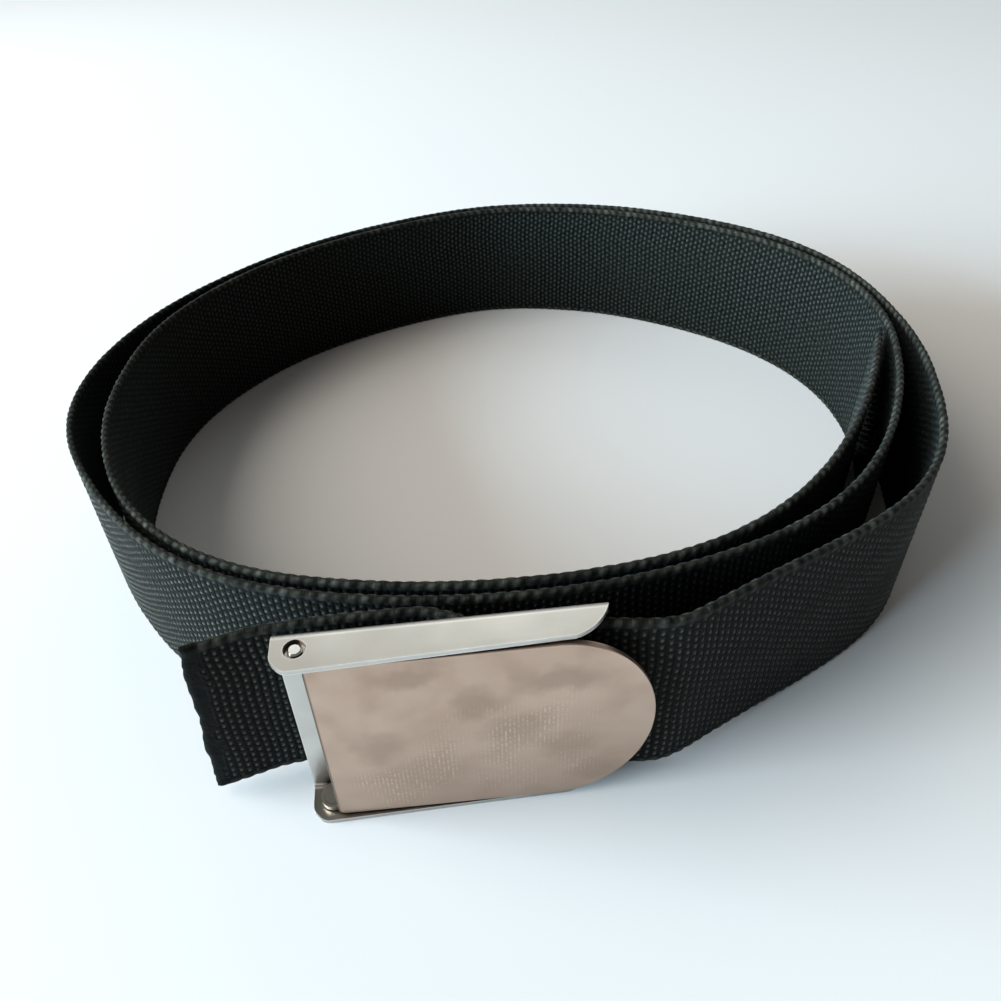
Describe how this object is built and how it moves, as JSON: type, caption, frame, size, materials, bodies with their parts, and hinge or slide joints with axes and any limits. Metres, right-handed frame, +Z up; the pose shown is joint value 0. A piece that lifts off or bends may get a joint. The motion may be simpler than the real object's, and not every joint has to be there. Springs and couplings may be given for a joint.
{
  "type": "dive weight belt",
  "caption": "Rolled-up webbing belt standing on edge, with a stainless lever buckle: channel frame, cam lever with a toothed jaw, and two pivot rivets.",
  "frame": {"origin": "on the surface the rolled belt stands on, under the middle of its outline", "axes": "+Z up, across the webbing; +X along the buckle from its hinge end to its lever tip, which is also the roll's longest extent; the buckle's face looks towards -Y"},
  "size_m": [0.2648, 0.248, 0.056],
  "materials": {
    "webbing": "coarse ribbed black polypropylene weave, dull",
    "stainless": "plain rolled stainless sheet, fine grain, slightly blotched"
  },
  "bodies": {
    "belt": {"webbing_strap": "webbing", "buckle_frame": "stainless", "pivot_pin_lower": "stainless", "pivot_pin_upper": "stainless"},
    "lever": {"cam_lever": "stainless", "toothed_jaw": "stainless"}
  },
  "joints": [
    {"name": "lever_hinge", "type": "hinge", "parent": "belt", "child": "lever", "pos_m": [-0.0522, -0.1188, 0.028], "axis": [0, 0, -1], "range_deg": [0, 120]}
  ]
}
